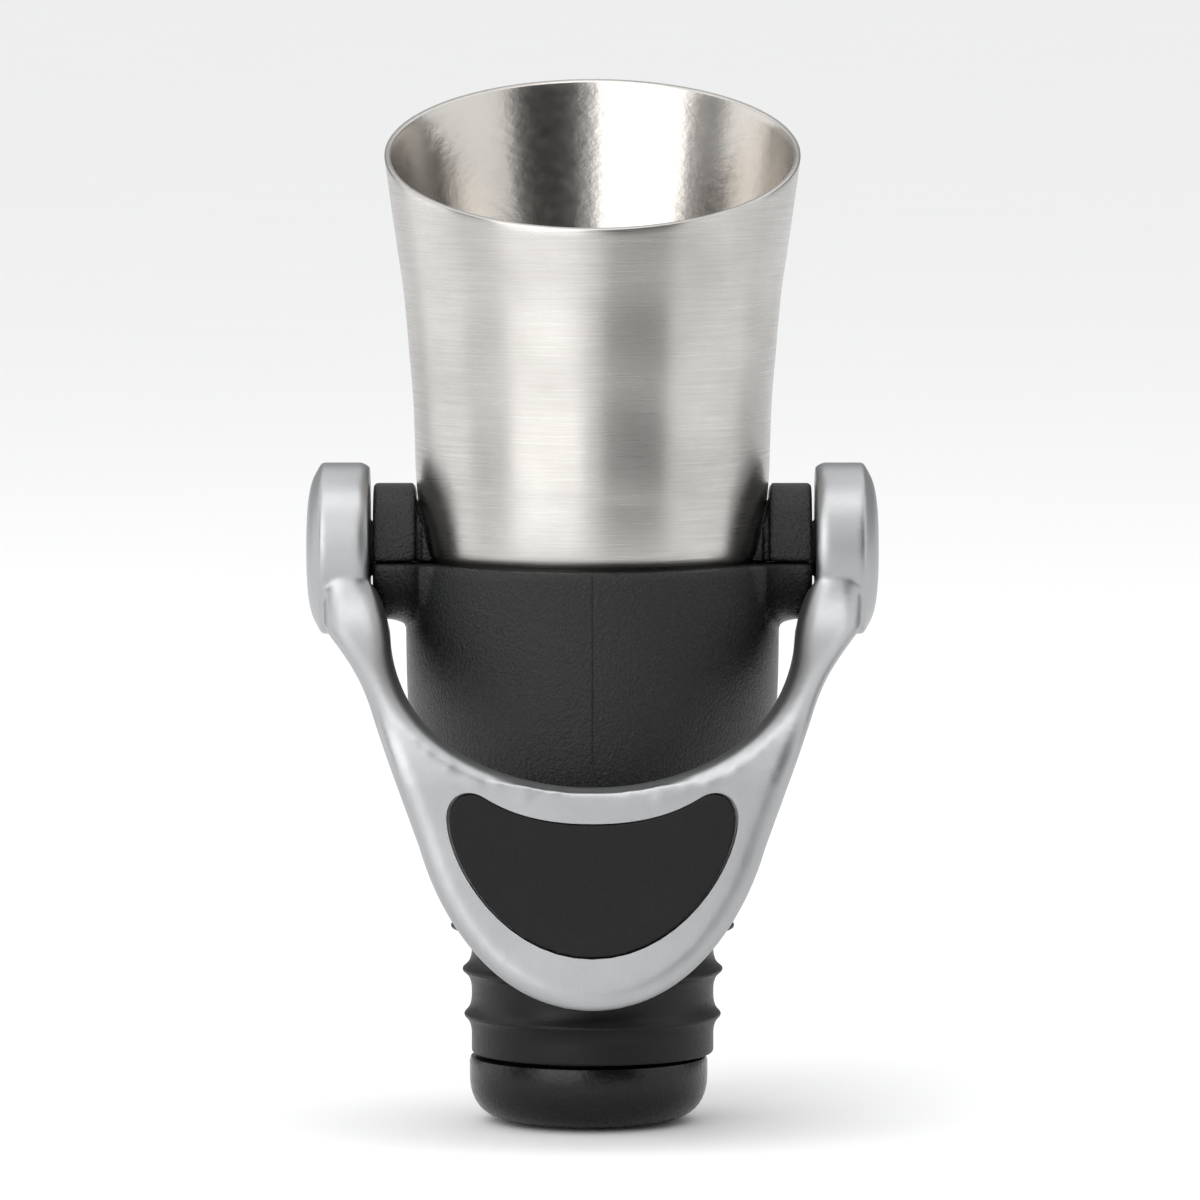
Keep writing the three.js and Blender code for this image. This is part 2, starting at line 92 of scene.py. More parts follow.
def place_of(across: float, up: float, axis: Axis) -> Vector:
    """Turns a profile point in millimetres into a place in metres.

    Args:
        across: Distance from the axis, or the outline's first coordinate.
        up: Distance along the axis, or the outline's second coordinate.
        axis: X and Z lay out a turned profile, and Y lays out a front outline.

    Returns:
        The point in the row frame.
    """
    if axis is Axis.X:
        return Vector((up, 0, across)) * MM
    return Vector((across, 0, up)) * MM


def trace(name: str, points: Sequence[Vector]) -> Object:
    """Draws a chain of edges by extruding one vertex from point to point.

    Args:
        name: The new piece's name.
        points: The places to pass through, in metres.

    Returns:
        The piece, still in edit mode.
    """
    select_none()
    bpy.ops.mesh.primitive_plane_add(size=MM, location=(0, 0, 0))
    piece = bpy.context.active_object
    piece.name = piece.data.name = name
    bpy.ops.object.mode_set(mode="EDIT")
    bpy.ops.mesh.select_mode(type="VERT")
    bpy.ops.mesh.select_all(action="SELECT")
    bpy.ops.mesh.merge(type="CENTER")
    bpy.ops.transform.translate(value=points[0])
    for start, end in zip(points, points[1:]):
        bpy.ops.mesh.extrude_region_move(TRANSFORM_OT_translate={"value": end - start})
    return piece


def tidy_faces() -> None:
    """Merges doubles and turns every face outwards, in edit mode, then leaves it."""
    bpy.ops.mesh.select_all(action="SELECT")
    bpy.ops.mesh.remove_doubles(threshold=SNAP)
    bpy.ops.mesh.normals_make_consistent(inside=False)
    bpy.ops.object.mode_set(mode="OBJECT")


def turned(name: str, profile: Sequence[Point], axis: Axis = Axis.Z, steps: int = 160,
           centre: Point = (0.0, 0.0)) -> Object:
    """Spins a profile of (radius, height) points into a solid.

    Args:
        name: The new piece's name.
        profile: The outline in millimetres; it ends on the axis or closes on itself.
        axis: The axis it turns about.
        steps: Facets round the axis.
        centre: (x, y) of a vertical axis, or (y, z) of an axis along X, in millimetres.

    Returns:
        The closed solid.
    """
    piece = trace(name, [place_of(r, h, axis) for r, h in profile])
    bpy.ops.mesh.select_all(action="SELECT")
    line = (1, 0, 0) if axis is Axis.X else (0, 0, 1)
    bpy.ops.mesh.spin(steps=steps, angle=2 * math.pi, center=(0, 0, 0), axis=line)
    move = (0, centre[0], centre[1]) if axis is Axis.X else (centre[0], centre[1], 0)
    bpy.ops.mesh.select_all(action="SELECT")
    bpy.ops.transform.translate(value=Vector(move) * MM)
    tidy_faces()
    return piece


def drawn_out(name: str, outline: Sequence[Point], axis: Axis, low: float, high: float) -> Object:
    """Extrudes a closed outline into a prism.

    Args:
        name: The new piece's name.
        outline: (x, z) points for a prism along Y, or (y, z) points for one along X.
        axis: The direction it is drawn out in.
        low: Where it starts along that axis, in millimetres.
        high: Where it ends.

    Returns:
        The closed solid.
    """
    if axis is Axis.X:
        points = [Vector((low, a, b)) * MM for a, b in outline]
        step = Vector((high - low, 0, 0)) * MM
    else:
        points = [Vector((a, low, b)) * MM for a, b in outline]
        step = Vector((0, high - low, 0)) * MM
    piece = trace(name, points)
    bpy.ops.mesh.select_all(action="SELECT")
    bpy.ops.mesh.edge_face_add()
    bpy.ops.mesh.extrude_region_move(TRANSFORM_OT_translate={"value": step})
    tidy_faces()
    return piece


def block(name: str, low: Sequence[float], high: Sequence[float]) -> Object:
    """Adds a box between two corners given in millimetres."""
    outline = [(low[0], low[2]), (high[0], low[2]), (high[0], high[2]), (low[0], high[2])]
    return drawn_out(name, outline, Axis.Y, low[1], high[1])


def apply_modifiers(piece: Object) -> None:
    """Applies every modifier of a piece, in order.

    Args:
        piece: The piece, which is left with no modifiers.
    """
    pick(piece)
    for modifier in list(piece.modifiers):
        bpy.ops.object.modifier_apply(modifier=modifier.name)


def work(piece: Object, tool: Object, how: Cut) -> Object:
    """Adds, takes away or keeps the shared part of a tool, which is used up.

    Args:
        piece: The solid that is changed.
        tool: The solid that acts on it.
        how: What the tool does.

    Returns:
        The changed piece.
    """
    boolean = piece.modifiers.new("work", "BOOLEAN")
    boolean.operation = how.value
    boolean.solver = "EXACT"
    boolean.object = tool
    apply_modifiers(piece)
    bpy.data.objects.remove(tool, do_unlink=True)
    return piece


def other_side(piece: Object) -> Object:
    """Returns a copy of a solid mirrored to the other side of x = 0, with its own mesh.

    Args:
        piece: The solid to mirror, which stays as it is.

    Returns:
        The mirror image, facing outwards.
    """
    pick(piece)
    bpy.ops.object.duplicate()
    copy = bpy.context.active_object
    bpy.ops.object.mode_set(mode="EDIT")
    bpy.ops.mesh.select_all(action="SELECT")
    bpy.ops.transform.resize(value=(-1, 1, 1), center_override=(0, 0, 0))
    tidy_faces()
    return copy


def on_both_sides(piece: Object, make: Callable[[], Object], how: Cut) -> None:
    """Works a tool and its mirror image into a piece.

    Args:
        piece: The solid that is changed.
        make: Makes the tool for the side where x is positive.
        how: What the tool does.
    """
    tool = make()
    mirror = other_side(tool)
    work(piece, tool, how)
    work(piece, mirror, how)


def melt(piece: Object, voxel: float, passes: int) -> None:
    """Rounds every edge as a cast or moulded part has it, by remeshing and smoothing.

    Args:
        piece: The solid to round.
        voxel: Mesh size in millimetres.
        passes: Smoothing passes; more of them give a larger edge radius.
    """
    remesh = piece.modifiers.new("remesh", "REMESH")
    remesh.mode = "VOXEL"
    remesh.voxel_size = voxel * MM
    remesh.use_smooth_shade = True
    smooth = piece.modifiers.new("smooth", "SMOOTH")
    smooth.factor = 0.5
    smooth.iterations = passes
    apply_modifiers(piece)


def ease_edges(piece: Object, width: float, segments: int, degrees: float) -> None:
    """Bevels every edge sharper than an angle.

    Args:
        piece: The solid to bevel.
        width: Width of the bevel in millimetres.
        segments: Number of faces across it; one makes a flat chamfer.
        degrees: The least angle that is bevelled.
    """
    bevel = piece.modifiers.new("ease", "BEVEL")
    bevel.width = width * MM
    bevel.segments = segments
    bevel.limit_method = "ANGLE"
    bevel.angle_limit = math.radians(degrees)
    bevel.use_clamp_overlap = False
    apply_modifiers(piece)


def shade(piece: Object, degrees: float = 32.0) -> None:
    """Shades a piece smooth except across edges sharper than an angle."""
    pick(piece)
    bpy.ops.object.shade_smooth_by_angle(angle=math.radians(degrees))


def choose_edges(piece: Object, wanted: Callable[[bmesh.types.BMEdge], bool]) -> None:
    """Selects the edges of a piece in edit mode that answer a test, and no others.

    Args:
        piece: The piece, in edit mode.
        wanted: The test, which is true for an edge to select.
    """
    bpy.ops.mesh.select_mode(type="EDGE")
    bpy.ops.mesh.select_all(action="DESELECT")
    mesh = bmesh.from_edit_mesh(piece.data)
    for edge in mesh.edges:
        edge.select_set(wanted(edge))
    bmesh.update_edit_mesh(piece.data)


def level(edge: bmesh.types.BMEdge) -> bool:
    """Tells whether both ends of an edge are at the same height."""
    return abs(edge.verts[0].co.z - edge.verts[1].co.z) < 1e-7


def corner(before: Point, at: Point, after: Point, reach: float, parts: int = 5) -> list[Point]:
    """Rounds one corner of a profile.

    Args:
        before: The point before the corner.
        at: The corner.
        after: The point after it.
        reach: How far the rounding reaches along each side, in millimetres.
        parts: Number of pieces in the rounding.

    Returns:
        The points that replace the corner.
    """
    here = Vector(at)
    first = (Vector(before) - here).normalized() * reach + here
    last = (Vector(after) - here).normalized() * reach + here
    points = []
    for i in range(parts + 1):
        t = i / parts
        points.append(tuple(first * (1 - t) ** 2 + here * 2 * t * (1 - t) + last * t * t))
    return points


def eased(profile: Sequence[tuple[float, ...]]) -> list[Point]:
    """Rounds the corners of a profile that carry a third value, the rounding's reach.

    Args:
        profile: Points of two values, or of three where a corner is rounded.

    Returns:
        The points of the rounded profile.
    """
    points: list[Point] = []
    for i, entry in enumerate(profile):
        at = (entry[0], entry[1])
        if len(entry) == 2:
            points.append(at)
            continue
        before, after = profile[i - 1][:2], profile[(i + 1) % len(profile)][:2]
        points.extend(corner(before, at, after, entry[2]))
    return points


def flowing(points: Sequence[Point], parts: int = 5) -> list[Point]:
    """Draws a smooth curve through points, with a number of pieces between each two.

    Args:
        points: The points to pass through.
        parts: Number of pieces between two of them.

    Returns:
        The points of the smooth curve.
    """
    knots = [points[0], *points, points[-1]]
    curve: list[Point] = []
    for a, b, c, d in zip(knots, knots[1:], knots[2:], knots[3:]):
        for i in range(parts):
            t = i / parts
            curve.append(tuple(
                0.5 * (2 * q + (r - p) * t + (2 * p - 5 * q + 4 * r - s) * t * t
                       + (3 * q - p - 3 * r + s) * t ** 3)
                for p, q, r, s in zip(a, b, c, d)
            ))
    return [*curve, tuple(points[-1])]


def bezier(start: Point, curves: Sequence[Sequence[float]], parts: int = 10) -> list[Point]:
    """Follows cubic curves given as two handles and an end each.

    Args:
        start: Where the first curve starts.
        curves: (x1, z1, x2, z2, x3, z3) of each curve, in millimetres.
        parts: Number of pieces in each curve.

    Returns:
        The points, without repeats.
    """
    points = [tuple(start)]
    for x1, z1, x2, z2, x3, z3 in curves:
        a, b, c, d = Vector(points[-1]), Vector((x1, z1)), Vector((x2, z2)), Vector((x3, z3))
        for i in range(1, parts + 1):
            t = i / parts
            u = 1 - t
            points.append(tuple(a * u ** 3 + b * 3 * u * u * t + c * 3 * u * t * t + d * t ** 3))
    return points


def arc(centre: Point, radius: Point, start: float, end: float, parts: int = 24) -> list[Point]:
    """Returns points on an ellipse between two angles in degrees.

    Args:
        centre: The middle of the ellipse.
        radius: Its half axes.
        start: First angle in degrees.
        end: Last angle in degrees.
        parts: Number of pieces.

    Returns:
        The points from the first angle to the last.
    """
    points = []
    for i in range(parts + 1):
        turn = math.radians(start + (end - start) * i / parts)
        points.append((centre[0] + radius[0] * math.cos(turn), centre[1] + radius[1] * math.sin(turn)))
    return points


def closed(profile: Sequence[Point]) -> list[Point]:
    """Repeats a profile's first point at its end."""
    return [*profile, profile[0]]


def mirrored(half: Sequence[Point]) -> list[Point]:
    """Completes a half outline that starts and ends on x = 0 with its mirror image."""
    return [*half, *[(-x, z) for x, z in reversed(half[1:-1])]]


def hand_over(piece: Object, material: Material, body: str, node: str) -> None:
    """Dresses a finished piece and ties it to its CAD node and body.

    Args:
        piece: The finished mesh.
        material: Its material.
        body: The CAD body it rides on.
        node: The CAD node it stands for.
    """
    piece.data.materials.clear()
    piece.data.materials.append(material)
    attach(piece, body)
    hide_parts(node)
    LOG.info("%s: %d faces, for %s", piece.name, len(piece.data.polygons), node)


# ---------------------------------------------------------------- finishes


def linear(hex_colour: str) -> tuple[float, float, float, float]:
    """Turns an sRGB hex colour into linear RGBA.

    Args:
        hex_colour: The colour, such as "#D6D4D1".

    Returns:
        Red, green and blue as linear light, and full alpha.
    """
    parts = [int(hex_colour[i:i + 2], 16) / 255 for i in (1, 3, 5)]
    red, green, blue = [c / 12.92 if c <= 0.04045 else ((c + 0.055) / 1.055) ** 2.4 for c in parts]
    return (red, green, blue, 1.0)


def add_node(material: Material, kind: str, settings: dict | None = None,
             links: dict | None = None) -> bpy.types.Node:
    """Adds one shader node.

    Args:
        material: The material it goes in.
        kind: The node's type name.
        settings: Attributes by name, and socket values by "input:NAME".
        links: Source sockets by the name or number of the input they feed.

    Returns:
        The node.
    """
    node = material.node_tree.nodes.new(kind)
    for name, value in (settings or {}).items():
        if name.startswith("input:"):
            key = name[6:]
            node.inputs[int(key) if key.isdigit() else key].default_value = value
        else:
            setattr(node, name, value)
    for name, source in (links or {}).items():
        material.node_tree.links.new(source, node.inputs[name])
    return node


def link(material: Material, source: bpy.types.NodeSocket, target: bpy.types.NodeSocket) -> None:
    """Links two sockets."""
    material.node_tree.links.new(source, target)


# A quarter turn, so that highlights stretch across the brushed lines.
ACROSS_THE_LINES = 0.25


@dataclass(frozen=True)
class Finish:
    """A surface: its base colour, gloss and a grain made of noise.

    Attributes:
        name: The real material and how its surface was made.
        colour: sRGB hex of the clean surface.
        shade: sRGB hex that the mottling leans towards.
        metallic: 1 for bare metal.
        roughness: Mean roughness.
        rough_spread: How far the grain moves the roughness.
        ior: Index of refraction of a surface that isn't metal.
        grain_mm: Size of the grain in x, y and z.
        grain_height_mm: Height of the grain in the bump.
        mottle_mm: Size of the slow colour variation.
        anisotropic: Strength of the brushed highlight.
        coat: Weight of a thin clear skin.
        specular: Strength of the gloss of a surface that isn't metal.
        streak: How much the grain shows in the colour.
    """

    name: str
    colour: str
    shade: str
    metallic: float = 0.0
    roughness: float = 0.5
    rough_spread: float = 0.08
    ior: float = 1.5
    grain_mm: tuple[float, float, float] = (0.3, 0.3, 0.3)
    grain_height_mm: float = 0.01
    mottle_mm: float = 4.0
    anisotropic: float = 0.0
    coat: float = 0.0
    specular: float = 0.5
    streak: float = 0.0

    def build(self) -> Material:
        """Makes the material's nodes and returns it.

        Returns:
            The finished material.
        """
        material = bpy.data.materials.new(self.name)
        material.use_nodes = True
        material.node_tree.nodes.clear()
        out = add_node(material, "ShaderNodeOutputMaterial")
        shader = add_node(material, "ShaderNodeBsdfPrincipled", {
            "input:Metallic": self.metallic,
            "input:Anisotropic": self.anisotropic,
            "input:Anisotropic Rotation": ACROSS_THE_LINES if self.anisotropic else 0.0,
            "input:Specular IOR Level": self.specular,
            "input:Coat Weight": self.coat,
            "input:Coat Roughness": 0.3,
        })
        if not self.metallic:
            shader.inputs["IOR"].default_value = self.ior
        link(material, shader.outputs["BSDF"], out.inputs["Surface"])
        self.dress(material, shader)
        return material

    def dress(self, material: Material, shader: bpy.types.Node) -> None:
        """Feeds colour, roughness and bump to the shader.

        Args:
            material: The material that the nodes go in.
            shader: Its Principled shader.
        """
        place = add_node(material, "ShaderNodeTexCoord").outputs["Object"]
        scale = [1 / (size * MM) for size in self.grain_mm]
        stretched = add_node(material, "ShaderNodeMapping", {"input:Scale": scale},
                             {"Vector": place}).outputs["Vector"]
        grain = add_node(material, "ShaderNodeTexNoise",
                         {"input:Scale": 1.0, "input:Detail": 3.0, "input:Roughness": 0.6},
                         {"Vector": stretched}).outputs["Fac"]
        mottle = add_node(material, "ShaderNodeTexNoise",
                          {"input:Scale": 1 / (self.mottle_mm * MM), "input:Detail": 4.0},
                          {"Vector": place}).outputs["Fac"]
        blend = add_node(material, "ShaderNodeMath", {"operation": "MULTIPLY_ADD", "input:1": self.streak},
                         {0: grain, 2: mottle}).outputs[0]
        mix = add_node(material, "ShaderNodeMix",
                       {"data_type": "RGBA", "input:6": linear(self.colour),
                        "input:7": linear(self.shade)}, {0: blend})
        link(material, mix.outputs[2], shader.inputs["Base Color"])
        rough = add_node(material, "ShaderNodeMapRange", {
            "input:From Min": 0.25,
            "input:From Max": 0.75,
            "input:To Min": self.roughness - self.rough_spread,
            "input:To Max": self.roughness + self.rough_spread,
        }, {"Value": grain}).outputs["Result"]
        link(material, rough, shader.inputs["Roughness"])
        height = self.relief(material, place, grain)
        bump = add_node(material, "ShaderNodeBump",
                        {"input:Strength": 1.0, "input:Distance": self.grain_height_mm * MM},
                        {"Height": height})
        link(material, bump.outputs["Normal"], shader.inputs["Normal"])
        if self.anisotropic:
            tangent = add_node(material, "ShaderNodeTangent", {"direction_type": "RADIAL", "axis": "Z"})
            link(material, tangent.outputs["Tangent"], shader.inputs["Tangent"])

    def relief(self, material: Material, place: bpy.types.NodeSocket,
               grain: bpy.types.NodeSocket) -> bpy.types.NodeSocket:
        """Returns the height that the bump follows, here the grain itself."""
        return grain


@dataclass(frozen=True)
class MouldedFinish(Finish):
    """A moulded skin with a spark-eroded pebble grain and a mould line at front and back.

    Attributes:
        pebble_mm: Size of one pebble.
        line_mm: Width of the mould's parting line.
    """

    pebble_mm: float = 0.25
    line_mm: float = 0.06

    def relief(self, material: Material, place: bpy.types.NodeSocket,
               grain: bpy.types.NodeSocket) -> bpy.types.NodeSocket:
        """Raises pebbles, with the parting line through them.

        Args:
            material: The material that the nodes go in.
            place: The place on the piece.
            grain: The fine noise between the pebbles.

        Returns:
            The height of the skin.
        """
        pebbles = add_node(material, "ShaderNodeTexVoronoi",
                           {"input:Scale": 1 / (self.pebble_mm * MM), "feature": "SMOOTH_F1",
                            "input:Smoothness": 0.6}, {"Vector": place}).outputs["Distance"]
        both = add_node(material, "ShaderNodeMath", {"operation": "MULTIPLY_ADD", "input:1": 0.6},
                        {0: pebbles, 2: grain}).outputs[0]
        across = add_node(material, "ShaderNodeSeparateXYZ", {}, {"Vector": place}).outputs["X"]
        away = add_node(material, "ShaderNodeMath", {"operation": "ABSOLUTE"}, {0: across}).outputs[0]
        ridge = add_node(material, "ShaderNodeMapRange", {
            "input:From Min": 0.0,
            "input:From Max": self.line_mm * MM,
            "input:To Min": 0.7,
            "input:To Max": 0.0,
        }, {"Value": away}).outputs["Result"]
        return add_node(material, "ShaderNodeMath", {"operation": "ADD"}, {0: both, 1: ridge}).outputs[0]


# 304 sheet, spun and then brushed round with a belt: fine level lines and upright highlights.
# Real lines are about 0.05 mm apart; they are drawn 0.11 mm apart, which is as fine as shows.
BRUSHED_SHEET = Finish("brushed_304_stainless", "#D6D4D1", "#A9A6A2", metallic=1.0, roughness=0.3,
                       rough_spread=0.06, grain_mm=(6.0, 6.0, 0.11), grain_height_mm=0.0042,
                       mottle_mm=9.0, anisotropic=0.62, streak=0.5)
# Inside of the same sheet, electropolished: satin, with the slow waves of the drawn surface.
POLISHED_SHEET = Finish("electropolished_304_stainless", "#C6C2BD", "#BAB6B0", metallic=1.0,
                        roughness=0.24, rough_spread=0.03, grain_mm=(1.1, 1.1, 0.8),
                        grain_height_mm=0.022, mottle_mm=7.0)
# Zinc die casting, tumbled and bead blasted: soft satin grey with a very fine tooth.
# Real pits are about 0.05 mm across; they are drawn 0.16 mm across, so that they show.
BLASTED_ZINC = Finish("bead_blasted_zinc_casting", "#ABACAD", "#9FA0A2", metallic=1.0, roughness=0.42,
                      rough_spread=0.05, grain_mm=(0.16, 0.16, 0.16), grain_height_mm=0.008,
                      mottle_mm=3.5)
# Glass-filled nylon from a spark-eroded mould: black pebbled skin with a low sheen.
# The relief is drawn deeper than a real one, so that the 0.25 mm pebbles show.
MOULDED_NYLON = MouldedFinish("moulded_black_nylon", "#08090A", "#0C0D0E", roughness=0.3,
                              grain_mm=(0.13, 0.13, 0.13), grain_height_mm=0.1, mottle_mm=5.0,
                              specular=0.36)
# Overmoulded thermoplastic elastomer: smooth, dry and slightly dusty black.
SOFT_PAD = Finish("moulded_black_elastomer", "#131314", "#171718", roughness=0.7, specular=0.22,
                  grain_mm=(0.22, 0.22, 0.22), grain_height_mm=0.006, mottle_mm=2.6)
# Moulded nitrile rubber: matt black with a faint bloom.
MATT_RUBBER = Finish("moulded_nitrile_rubber", "#0A0A0B", "#0F0F10", roughness=0.42, specular=0.24,
                     grain_mm=(0.35, 0.35, 0.2), grain_height_mm=0.02, mottle_mm=2.0)
# Polypropylene plug from an etched mould: fine leather grain with a low gloss.
PLUG_SKIN = Finish("moulded_polypropylene", "#09090A", "#0C0C0D", roughness=0.27, specular=0.3,
                   grain_mm=(0.42, 0.42, 0.42), grain_height_mm=0.03, mottle_mm=3.0)
# Turned 303 bar: bright with fine tool rings.
TURNED_BAR = Finish("turned_303_stainless", "#C6C5C2", "#B9B7B3", metallic=1.0, roughness=0.24,
                    grain_mm=(2.0, 2.0, 0.12), grain_height_mm=0.003)
# Natural acetal: moulded, off-white and waxy.
ACETAL = Finish("moulded_natural_acetal", "#DAD6CA", "#CFCABC", roughness=0.45, ior=1.48,
                grain_height_mm=0.006)
# Free-cutting brass, turned: warm yellow and fairly bright.
BRASS = Finish("turned_brass", "#C9A35A", "#B08A45", metallic=1.0, roughness=0.3,
               grain_height_mm=0.004)


# ---------------------------------------------------------------- shared places

# Height of the lever's pivot, of the split through its bearings, and the bearings' radius.
PIVOT_Z = 43.0
SPLIT_Z = 42.2
BEARING_R = 2.65
# Cuts that are open downwards end here, below every part of the collar.
UNDER_Z = 38.0


def round_topped(name: str, radius: float, low: float, high: float, foot: float,
                 ease: float = 0.0) -> Object:
    """Makes a block along +X with a half-round top about the pivot and straight sides below.

    Args:
        name: The block's name.
        radius: Half its depth, and the radius of its top.
        low: Where it starts on X, in millimetres.
        high: Where it ends on X.
        foot: Height of its underside.
        ease: Rounding of the edge at its outer end.

    Returns:
        The block.
    """
    outline = [(-radius, foot), (radius, foot), *arc((0, PIVOT_Z), (radius, radius), 0, 180, 40)]
    piece = drawn_out(name, outline, Axis.X, low, high)
    if ease:
        ease_edges(piece, ease, 4, 60)
    return piece


# ---------------------------------------------------------------- cup


@dataclass
class Cup:
    """The flared steel cup with its sloping mouth.

    Attributes:
        side: Outside (radius, height) points, in millimetres.
        wall: Sheet thickness.
        foot: Inner radius and height of the flange that the collar clamps.
        rim_height: Height of the mouth's plane on the axis.
        rim_slope: Slope of the mouth in degrees, high at the back.
        rim_ease: Rounding of the rim's two edges.
        rim_band: Depth of the plain band of faces below the rim.
        notch: Radius of the openings that the pivots pass through.
        notch_span: Where an opening's tool starts and ends on X.
    """

    side: list[Point] = field(default_factory=lambda: [
        (12.3, 42.28), (12.6, 42.7), (12.8, 43.5), (12.97, 45.0), (13.12, 47.0), (13.25, 49.0),
        (13.42, 54.0), (13.75, 58.0), (14.1, 62.0), (14.6, 65.5), (15.1, 69.0), (15.6, 72.6),
        (16.1, 76.0), (16.5, 79.0)])
    wall: float = 0.48
    foot: Point = (10.2, 39.0)
    rim_height: float = 72.4
    rim_slope: float = 18.1
    rim_ease: float = 0.13
    rim_band: float = 0.6
    notch: float = 3.9
    notch_span: Point = (8.0, 13.2)

    def outline(self) -> list[Point]:
        """Returns the closed section of the sheet, foot first.

        Returns:
            (radius, height) points, closed on themselves.
        """
        outside = [(11.9, self.foot[1]), *flowing(self.side, 6)]
        inside = [(r - self.wall, max(z, self.foot[1] + self.wall)) for r, z in outside]
        toe = [(self.foot[0], self.foot[1] + self.wall), self.foot]
        return closed([*outside, *reversed(inside), *toe])

    def build(self) -> Object:
        """Spins the sheet, slopes the mouth, rounds the rim and cuts the pivot openings.

        Returns:
            The sheet metal shell.
        """
        piece = turned("cup_shell", self.outline(), steps=220)
        self.slope_mouth(piece)
        on_both_sides(piece, self.opening, Cut.TAKE)
        shade(piece, 40)
        return piece

    def opening(self) -> Object:
        """Makes the tool for one pivot's opening."""
        return round_topped("notch", self.notch, self.notch_span[0], self.notch_span[1], UNDER_Z)

    def line_inside(self, piece: Object, material: Material) -> None:
        """Gives the faces that look at the axis their own finish.

        Args:
            piece: The built shell, with its outer finish in place.
            material: The inner finish.
        """
        pick(piece)
        bpy.ops.object.material_slot_add()
        piece.material_slots[1].material = material
        bpy.ops.object.mode_set(mode="EDIT")
        bpy.ops.mesh.select_mode(type="FACE")
        bpy.ops.mesh.select_all(action="DESELECT")
        mesh = bmesh.from_edit_mesh(piece.data)
        for face in mesh.faces:
            middle = face.calc_center_median()
            away = Vector((middle.x, middle.y, 0)).normalized()
            face.select_set(face.normal.dot(away) < -0.5)
        bmesh.update_edit_mesh(piece.data)
        bpy.ops.object.material_slot_assign()
        bpy.ops.mesh.select_mode(type="VERT")
        bpy.ops.object.mode_set(mode="OBJECT")

    def slope_mouth(self, piece: Object) -> None:
        """Cuts the mouth to its sloping plane, closes the cut and rounds its edges.

        Args:
            piece: The shell, still level at its top.
        """
        slope = math.radians(self.rim_slope)
        normal = Vector((0, -math.sin(slope), math.cos(slope)))
        point = Vector((0, 0, self.rim_height * MM))
        band = self.rim_band * MM

        def depth(place: Vector) -> float:
            """Returns how far a place lies below the mouth's plane."""
            return (point - place).dot(normal)

        def on_plane(edge: bmesh.types.BMEdge, below: float) -> bool:
            """Tells whether both ends of an edge lie a given depth below that plane."""
            return all(abs(depth(v.co) - below) < SNAP for v in edge.verts)

        pick(piece)
        bpy.ops.object.mode_set(mode="EDIT")
        bpy.ops.mesh.select_all(action="SELECT")
        bpy.ops.mesh.bisect(plane_co=point, plane_no=normal, clear_outer=True, threshold=SNAP)
        bpy.ops.mesh.select_all(action="SELECT")
        bpy.ops.mesh.bisect(plane_co=point - normal * band, plane_no=normal, threshold=SNAP)
        choose_edges(piece, lambda e: level(e) and not on_plane(e, 0.0) and not on_plane(e, band)
                     and all(-SNAP < depth(v.co) < band + SNAP for v in e.verts))
        bpy.ops.mesh.dissolve_edges(use_verts=True)
        choose_edges(piece, lambda e: on_plane(e, 0.0))
        bpy.ops.mesh.bridge_edge_loops()
        choose_edges(piece, lambda e: on_plane(e, 0.0) and e.calc_face_angle() > 0.7)
        bpy.ops.mesh.bevel(offset=self.rim_ease * MM, segments=3, affect="EDGES")
        bpy.ops.mesh.select_mode(type="VERT")
        tidy_faces()


# ---------------------------------------------------------------- collar and housing


